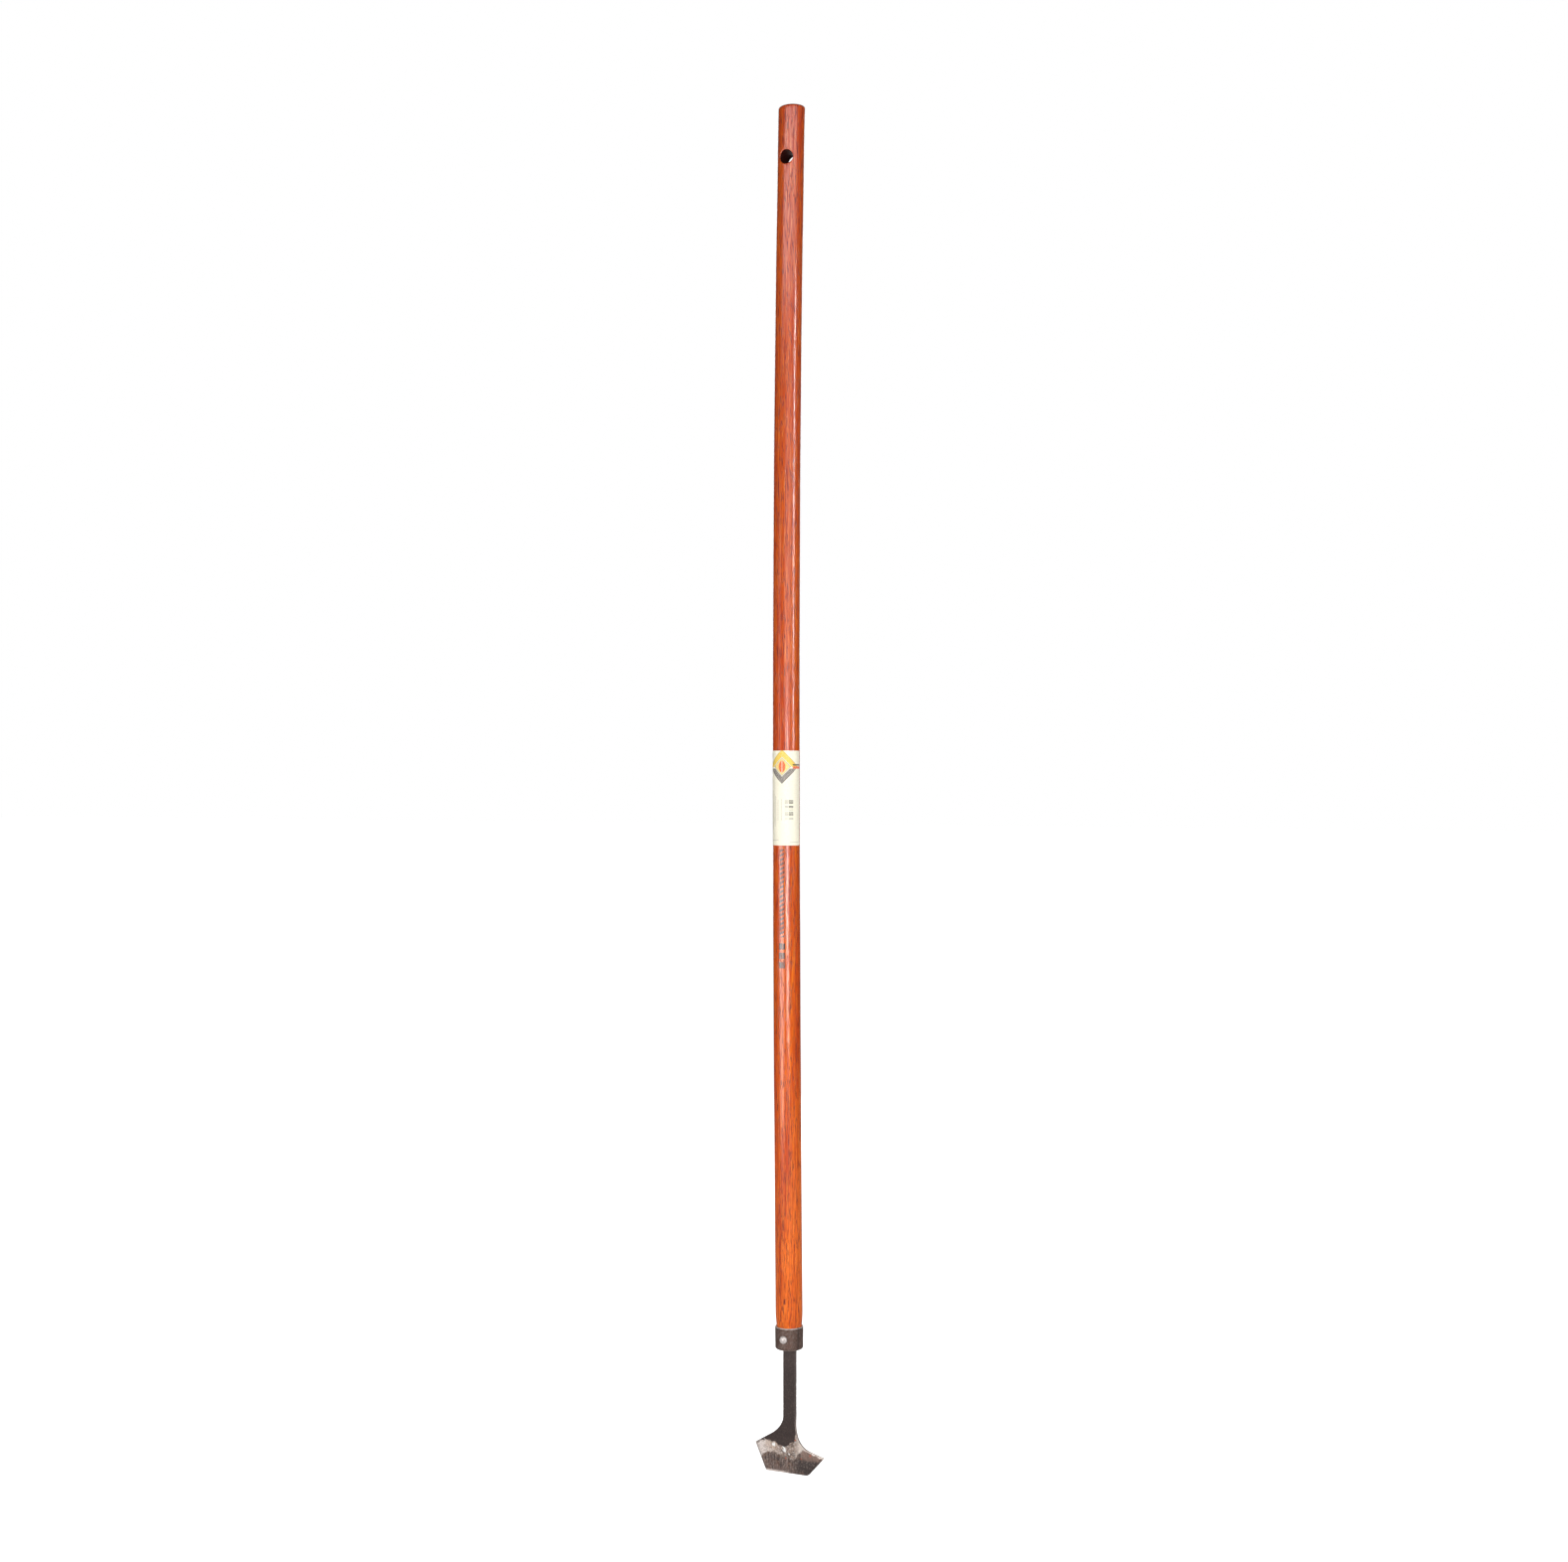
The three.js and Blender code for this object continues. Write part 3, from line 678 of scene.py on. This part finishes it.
def rules_and_bars(g, along, rise):
    """Two rules by the badge, a block of bars and faint rules. A list of (mask, strength, ink)."""
    def block(left, right, foot, top):
        return g.multiply(g.between(along, left, right), g.between(rise, foot, top))

    inks = [
        (block(*RULE_SIDES, 83.6, 85.2), 1.0, DARK),
        (block(*RULE_SIDES, 80.4, 83.0), 1.0, ORANGE),
    ]
    fine = g.step(g.math("PINGPONG", rise, FINE_PITCH), 0.25, 0.5, 0.55, 1.0)
    for foot, top, strength in BAR_GROUPS:
        inks.append((g.multiply(fine, block(*DARK_BAR_SIDES, foot, top)), strength, DARK))
        inks.append((g.multiply(fine, block(*GREY_BAR_SIDES, foot, top)), strength * 0.6, GREY))
    for middle, foot, top, strength in UPRIGHTS:
        inks.append((block(middle - UPRIGHT_HALF, middle + UPRIGHT_HALF, foot, top), strength, GREY))
    for level in LEVELS:
        inks.append((block(*level), 0.4, GREY))
    return inks


# ---------------------------------------------------------------- meshes

def from_bmesh(name, bm):
    mesh = bpy.data.meshes.new(name)
    bm.to_mesh(mesh)
    bm.free()
    return new_object(name, mesh)


def skin(name, rings, closed_loop=False):
    """A mesh object over rings of points, all of the same length. Ends are closed with a fan, or
    with closed_loop the last ring joins the first."""
    bm = bmesh.new()
    loops = [[bm.verts.new(point) for point in ring] for ring in rings]
    pairs = list(zip(loops, loops[1:]))
    if closed_loop:
        pairs.append((loops[-1], loops[0]))
    for lower, upper in pairs:
        for i in range(len(lower)):
            j = (i + 1) % len(lower)
            bm.faces.new((lower[i], lower[j], upper[j], upper[i]))
    if not closed_loop:
        for loop in (loops[0], loops[-1]):
            hub = bm.verts.new(sum((v.co for v in loop), Vector()) / len(loop))
            for i in range(len(loop)):
                bm.faces.new((loop[i], loop[(i + 1) % len(loop)], hub))
    bmesh.ops.recalc_face_normals(bm, faces=bm.faces)
    return from_bmesh(name, bm)


def bake_modifiers(piece):
    """Replaces the piece's mesh by what its modifiers make of it."""
    graph = bpy.context.evaluated_depsgraph_get()
    mesh = bpy.data.meshes.new_from_object(piece.evaluated_get(graph), depsgraph=graph)
    piece.modifiers.clear()
    piece.data = mesh


def cut(piece, *cutters):
    """Takes the cutters' volume out of the piece, and removes the cutters."""
    for cutter in cutters:
        modifier = piece.modifiers.new("cut", "BOOLEAN")
        modifier.operation = "DIFFERENCE"
        modifier.solver = "EXACT"
        modifier.object = cutter
    bake_modifiers(piece)
    for cutter in cutters:
        bpy.data.objects.remove(cutter)
    return piece


def smooth(piece, sharp_angle):
    piece.data.shade_smooth()
    piece.data.set_sharp_from_angle(angle=math.radians(sharp_angle))
    return piece


def finish(piece, material, node):
    piece.data.materials.clear()
    piece.data.materials.append(material)
    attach(piece, "root")
    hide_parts(node)


def circle_angles(sides):
    return [2 * math.pi * i / sides for i in range(sides)]


def quarter_turn(steps):
    """Angles from 0 to a right angle, ends included."""
    return [math.pi / 2 * i / steps for i in range(steps + 1)]


def round_to_front(angle):
    """The (x, y) direction at an angle that runs from the front towards +X."""
    return math.sin(angle), -math.cos(angle)


# ---------------------------------------------------------------- the pole

POLE_SIDES = 112
CAD_POLE_SIDES = 44
BODY_STEP = 3 * MM
TAPER_STEP = 1 * MM
TAPER_TALL = 17 * MM
BUTT_RINGS = 8
ROUND_STEPS = 12
CAP_SHARES = (0.7, 0.4, 0.15)
# The uneven surface: its depth, then noise cells per unit of direction and per metre of height
UNEVEN = 0.12 * MM
UNEVEN_ROUND = 0.7
UNEVEN_WAVES = 12
HOLE_FLARE = 0.9 * MM
FLARE_STEPS = 5
HOLE_SIDES = 72
CUTTER_PROUD = 4 * MM
TANG_FOOT_WIDE = 10.5 * MM
TANG_TIP_WIDE = 6 * MM
TANG_SPARE = 0.3 * MM
RIVET_BORE = 2.5 * MM
BORE_SIDES = 48


def cad_pole_rings():
    """The CAD pole's whole rings, foot first, as (z, centre x, radius)."""
    levels = {}
    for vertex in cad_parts["handle"].data.vertices:
        levels.setdefault(round(vertex.co.z, 5), []).append(vertex.co)
    rings = []
    for z in sorted(levels):
        points = {(round(p.x, 6), round(p.y, 6)) for p in levels[z]}
        if len(points) < CAD_POLE_SIDES:
            continue
        xs = [p[0] for p in points]
        ys = [p[1] for p in points]
        rings.append((z, (min(xs) + max(xs)) / 2, (max(ys) - min(ys)) / 2))
    return rings


POLE_RINGS = cad_pole_rings()
POLE_FOOT_Z, POLE_FOOT_X, POLE_FOOT_RADIUS = POLE_RINGS[0]
END_RADIUS = POLE_RINGS[-1][2]
BODY_RINGS = [ring for ring in POLE_RINGS if ring[0] > FERRULE_TOP.z]


def slope_at(i, column):
    """A slope through body ring i that never overshoots its neighbours."""
    if i in (0, len(BODY_RINGS) - 1):
        return 0
    before, here, after = BODY_RINGS[i - 1:i + 2]
    low = (here[column] - before[column]) / (here[0] - before[0])
    high = (after[column] - here[column]) / (after[0] - here[0])
    return 2 * low * high / (low + high) if low * high > 0 else 0


def along_pole(column, z):
    """The pole's centre x (column 1) or radius (column 2) at a height, smooth through the CAD rings."""
    above = sum(ring[0] <= z for ring in BODY_RINGS)
    i = min(max(above - 1, 0), len(BODY_RINGS) - 2)
    start, end = BODY_RINGS[i], BODY_RINGS[i + 1]
    span = end[0] - start[0]
    t = min(max((z - start[0]) / span, 0), 1)
    pull_start = slope_at(i, column) * span * (t - 2 * t ** 2 + t ** 3)
    pull_end = slope_at(i + 1, column) * span * (t ** 3 - t ** 2)
    blend = 3 * t ** 2 - 2 * t ** 3
    return start[column] * (1 - blend) + end[column] * blend + pull_start + pull_end


def pole_point(angle, z, radius, centre):
    """A point of the pole's slightly uneven surface."""
    side, front = round_to_front(angle)
    wave = noise.noise(Vector((UNEVEN_ROUND * side, UNEVEN_ROUND * front, z * UNEVEN_WAVES)))
    reach = radius + UNEVEN * wave
    return Vector((centre + reach * side, reach * front, z))


def spread(start, end, step):
    """Heights from start up to, but not reaching, end, at about the given step."""
    count = math.ceil((end - start) / step)
    return [start + (end - start) * i / count for i in range(count)]


def make_handle():
    mouth_z = BODY_RINGS[0][0]
    taper_top = mouth_z + TAPER_TALL
    butt_radius = max(ring[2] for ring in BODY_RINGS[-BUTT_RINGS:])
    butt_round = butt_radius - END_RADIUS
    round_z = BUTT_Z - butt_round
    angles = circle_angles(POLE_SIDES)

    def ring(z, radius, centre):
        return [pole_point(a, z, radius, centre) for a in angles]

    rings = [ring(z, POLE_FOOT_RADIUS, POLE_FOOT_X) for z in spread(POLE_FOOT_Z, mouth_z, BODY_STEP)]
    for z in spread(mouth_z, taper_top, TAPER_STEP) + spread(taper_top, round_z, BODY_STEP):
        rings.append(ring(z, along_pole(2, z), along_pole(1, z)))
    for turn in quarter_turn(ROUND_STEPS):
        z = round_z + butt_round * math.sin(turn)
        rings.append(ring(z, END_RADIUS + butt_round * math.cos(turn), along_pole(1, z)))
    for share in CAP_SHARES:
        rings.append(ring(BUTT_Z, END_RADIUS * share, along_pole(1, BUTT_Z)))

    handle = skin("handle_wood", rings)
    return smooth(cut(handle, hang_hole_cutter(), tang_cutter(), rivet_bore_cutter()), 40)


def hang_hole_cutter():
    """A bar along Y whose ends flare just under the pole's surface, which eases the hole's edge."""
    radius = along_pole(2, 0)
    sides = circle_angles(HOLE_SIDES)
    stations = [(HOLE_FLARE * (1 - math.sin(turn)), HOLE_FLARE * (1 - math.cos(turn)))
                for turn in quarter_turn(FLARE_STEPS)]
    stations.append((-CUTTER_PROUD, HOLE_FLARE))

    def ring(front, depth, flare):
        points = []
        for a in sides:
            x, z = (HOLE_RADIUS + flare) * math.cos(a), (HOLE_RADIUS + flare) * math.sin(a)
            points.append((x, front * (math.sqrt(radius ** 2 - x ** 2) - depth), z))
        return points

    rings = [ring(-1, depth, flare) for depth, flare in reversed(stations)]
    rings += [ring(1, depth, flare) for depth, flare in stations]
    return skin("hang_hole", rings)


def tang_cutter():
    """The slot in the pole that the blade's tapered tang fills."""
    tip_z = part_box("blade")[1].z
    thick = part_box("blade")[1].y
    foot_z = POLE_FOOT_Z - TANG_SPARE
    rings = []
    for z, wide in ((foot_z, TANG_FOOT_WIDE), (tip_z + TANG_SPARE, TANG_TIP_WIDE)):
        x, y = wide / 2 + TANG_SPARE, thick + TANG_SPARE
        rings.append([(-x, -y, z), (x, -y, z), (x, y, z), (-x, y, z)])
    return skin("tang_slot", rings)


def rivet_bore_cutter():
    """A round bar along Y where the rivet passes."""
    half = 2 * FERRULE_RADIUS
    rings = [[(RIVET_X + RIVET_BORE * math.cos(a), y, RIVET_Z + RIVET_BORE * math.sin(a))
              for a in circle_angles(BORE_SIDES)] for y in (-half, half)]
    return skin("rivet_bore", rings)


# ---------------------------------------------------------------- ferrule and rivet

FERRULE_SIDES = 144
FERRULE_WALL = 1.4 * MM
FERRULE_TURN = 2.0 * MM
FERRULE_TAPER = 0.25 * MM
TURN_STEPS, WALL_STEPS, RIM_STEPS, INSIDE_STEPS, LIP_STEPS = 8, 22, 10, 4, 6
# Dents: their depth, then noise cells per unit of direction and per metre of height
DENTS = 0.10 * MM
DENTS_ROUND = 1.6
DENTS_ALONG = 160
# The flat that riveting pressed into the wall: its depth, and its reach in rivet radii
RIVET_SEAT = 0.25 * MM
SEAT_REACH = 1.5

RIVET_SIDES = 56
# How deep both ends sit in the ferrule's wall, as a multiple of the flat's depth
RIVET_SUNK = 2.2
TAIL_SHARE = 0.86
HEAD_STEPS, HEAD_CROWN = 14, 0.55
TAIL_STEPS, TAIL_CROWN = 10, 0.6
UNDER_SHARE = 0.97
UNDER_DEPTH = 0.3 * MM
PIN_SPARE = 0.2 * MM
HAMMERED = 0.10 * MM
HAMMER_MARKS = 420


def arc_points(centre_r, centre_z, radius, start, end, steps):
    """(r, z) points on an arc about a centre, between two angles in degrees, ends included."""
    points = []
    for i in range(steps + 1):
        a = math.radians(start + (end - start) * i / steps)
        points.append((centre_r + radius * math.cos(a), centre_z + radius * math.sin(a)))
    return points


def ferrule_profile():
    """The collar's closed section as (r, z): a turned-in foot, a wall and a soft rolled rim."""
    foot_z, top_z = FERRULE_FOOT.z, FERRULE_TOP.z
    top_r, foot_r = FERRULE_RADIUS, FERRULE_RADIUS - FERRULE_TAPER
    rim = FERRULE_WALL / 2
    turn_z = foot_z + FERRULE_TURN
    profile = arc_points(foot_r - FERRULE_TURN, turn_z, FERRULE_TURN, -90, 0, TURN_STEPS)
    for i in range(1, WALL_STEPS):
        share = i / WALL_STEPS
        profile.append((foot_r + (top_r - foot_r) * share, turn_z + (top_z - rim - turn_z) * share))
    profile += arc_points(top_r - rim, top_z - rim, rim, 0, 180, RIM_STEPS)
    inner_r = top_r - FERRULE_WALL
    inner_turn = FERRULE_TURN - FERRULE_WALL
    inner_z = foot_z + FERRULE_WALL + inner_turn
    profile += arc_points(inner_r - inner_turn, inner_z, inner_turn, 0, -90, INSIDE_STEPS)
    lip_r = foot_r - FERRULE_TURN - FERRULE_WALL
    profile += arc_points(lip_r, foot_z + FERRULE_WALL / 2, FERRULE_WALL / 2, 90, 270, LIP_STEPS)
    return profile


def make_ferrule():
    rings = []
    for a in circle_angles(FERRULE_SIDES):
        side, front = round_to_front(a)
        ring = []
        for r, z in ferrule_profile():
            dent = noise.noise(Vector((DENTS_ROUND * side, DENTS_ROUND * front, DENTS_ALONG * z)))
            reach = r + DENTS * dent
            ring.append((FERRULE_X + reach * side, reach * front, z))
        rings.append(ring)
    ferrule = skin("ferrule_collar", rings, closed_loop=True)
    flatten_under_rivet(ferrule)
    return smooth(cut(ferrule, rivet_bore_cutter()), 50)


def flatten_under_rivet(ferrule):
    """Riveting pressed the collar's round wall a little flat under both ends of the rivet."""
    for v in ferrule.data.vertices:
        away = math.hypot(v.co.x - RIVET_X, v.co.z - RIVET_Z) / (RIVET_RADIUS * SEAT_REACH)
        press = RIVET_SEAT * max(0, 1 - away ** 2) ** 2
        v.co.y -= math.copysign(press, v.co.y)


def rivet_profile():
    """The rivet's section as (r, y) from its front crown, in round the pin and out to its tail."""
    seat = FERRULE_RADIUS - RIVET_SUNK * RIVET_SEAT
    head_r, tail_r = RIVET_RADIUS, RIVET_RADIUS * TAIL_SHARE
    head_high, tail_high = -RIVET_LOW.y - seat, RIVET_HIGH.y - seat
    pin_r, pin_y = RIVET_BORE - PIN_SPARE, seat - UNDER_DEPTH
    profile = [(head_r * math.sin(a), -seat - head_high * math.cos(a) ** HEAD_CROWN)
               for a in quarter_turn(HEAD_STEPS)[1:]]
    profile += [(head_r * UNDER_SHARE, -pin_y), (pin_r, -pin_y)]
    profile += [(pin_r, pin_y), (tail_r * UNDER_SHARE, pin_y)]
    profile += [(tail_r * math.sin(a), seat + tail_high * math.cos(a) ** TAIL_CROWN)
                for a in reversed(quarter_turn(TAIL_STEPS)[1:])]
    return profile


def make_rivet():
    rings = []
    for r, y in rivet_profile():
        ring = []
        for a in circle_angles(RIVET_SIDES):
            x, z = r * math.cos(a), r * math.sin(a)
            mark = noise.noise(Vector((x, y, z)) * HAMMER_MARKS)
            ring.append((RIVET_X + x, y + math.copysign(HAMMERED, y) * mark, RIVET_Z + z))
        rings.append(ring)
    return smooth(skin("rivet_steel", rings), 60)


# ---------------------------------------------------------------- the forging

WELD = 0.01 * MM
REMESH_DEPTH = 9
REMESH_SCALE = 0.99
EASE = 0.3
FORGED_RISE = 31 * MM
FORGED_FADE = 8 * MM

# Ripples in the forged skin as (noise cells per metre, depth in mm), then its pits and the ground
# faces in the same units
FORGED_WAVES = ((90, 0.16), (330, 0.07))
PITS_PER_METRE, PIT_LEVEL, PIT_DEPTH = 700, 0.25, 0.30
GROUND_WAVES, GROUND_DEPTH = (160, 160, 60), 0.06


def skin_depth(co):
    """How far the forging's skin stands out at a point, in mm."""
    forged = min(max((co.z - EDGE_Z - FORGED_RISE) / FORGED_FADE, 0), 1)
    ripple = sum(noise.noise(co * waves) * depth for waves, depth in FORGED_WAVES)
    pits = min(0, noise.noise(co * PITS_PER_METRE) + PIT_LEVEL) * PIT_DEPTH
    ground = noise.noise(co * Vector(GROUND_WAVES)) * GROUND_DEPTH
    return (ripple + pits) * forged + ground * (1 - forged)


def make_blade():
    """The CAD forging with a fine skin: softened edges, hammered scale above, ground faces below."""
    bm = bmesh.new()
    bm.from_mesh(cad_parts["blade"].data)
    bmesh.ops.remove_doubles(bm, verts=bm.verts, dist=WELD)
    blade = from_bmesh("blade_forging", bm)
    remesh = blade.modifiers.new("skin", "REMESH")
    remesh.mode = "SHARP"
    remesh.octree_depth = REMESH_DEPTH
    remesh.scale = REMESH_SCALE
    ease = blade.modifiers.new("ease", "SMOOTH")
    ease.factor = EASE
    ease.iterations = 1
    bake_modifiers(blade)
    shift = [v.normal * MM * skin_depth(v.co) for v in blade.data.vertices]
    for v, move in zip(blade.data.vertices, shift):
        v.co += move
    blade.data.shade_smooth()
    return blade


# ---------------------------------------------------------------- the label

LABEL_WIDE = 44 * MM
LABEL_TURN = math.radians(5)
LABEL_THICK = 0.16 * MM
LABEL_GAP = 0.01 * MM
LABEL_CORNER = 2 * MM
LABEL_LIFT = 0.10 * MM
LABEL_LIFT_REACH = 1.5 * MM
LABEL_COLUMNS, LABEL_ROWS = 96, 120


def label_face(bm, proud):
    """One face of the label, so far proud of the pole, as columns of vertices from -X to +X."""
    low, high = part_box("label")
    half_wide, half_tall = LABEL_WIDE / 2, (high.z - low.z) / 2
    middle_z = (low.z + high.z) / 2
    radius = along_pole(2, middle_z)
    face = []
    for i in range(LABEL_COLUMNS + 1):
        along = half_wide * (2 * i / LABEL_COLUMNS - 1)
        into_corner = max(0, abs(along) - half_wide + LABEL_CORNER)
        trim = LABEL_CORNER - math.sqrt(LABEL_CORNER ** 2 - into_corner ** 2)
        column = []
        for j in range(LABEL_ROWS + 1):
            up = (half_tall - trim) * (2 * j / LABEL_ROWS - 1)
            edge = min(half_wide - abs(along), half_tall - abs(up))
            lift = LABEL_LIFT * max(0, 1 - edge / LABEL_LIFT_REACH) ** 2
            z = middle_z + up
            reach = along_pole(2, z) + (proud + lift)
            spot = pole_point(LABEL_TURN + along / radius, z, reach, along_pole(1, z))
            column.append(bm.verts.new(spot))
        face.append(column)
    return face


def make_label():
    """A thin paper sheet on the pole's own surface, with round corners and slightly lifted edges."""
    columns, rows = LABEL_COLUMNS, LABEL_ROWS
    bm = bmesh.new()
    outer, inner = label_face(bm, LABEL_THICK), label_face(bm, LABEL_GAP)
    for i in range(columns):
        for j in range(rows):
            bm.faces.new((outer[i][j], outer[i + 1][j], outer[i + 1][j + 1], outer[i][j + 1]))
            bm.faces.new((inner[i][j], inner[i][j + 1], inner[i + 1][j + 1], inner[i + 1][j]))
    border = [(i, 0) for i in range(columns)] + [(columns, j) for j in range(rows)]
    border += [(i, rows) for i in range(columns, 0, -1)] + [(0, j) for j in range(rows, 0, -1)]
    for (i, j), (m, n) in zip(border, border[1:] + border[:1]):
        bm.faces.new((outer[i][j], inner[i][j], inner[m][n], outer[m][n]))
    bmesh.ops.recalc_face_normals(bm, faces=bm.faces)
    return smooth(from_bmesh("label_sheet", bm), 45)


# ---------------------------------------------------------------- the scene

make_camera()
for light in LIGHTS:
    make_light(*light)
make_world()
make_floor()
finish(make_handle(), wood_material(), "handle")
finish(make_ferrule(), ferrule_material(), "ferrule")
finish(make_rivet(), rivet_material(), "rivet")
finish(make_blade(), blade_material(), "blade")
finish(make_label(), label_material(), "label")
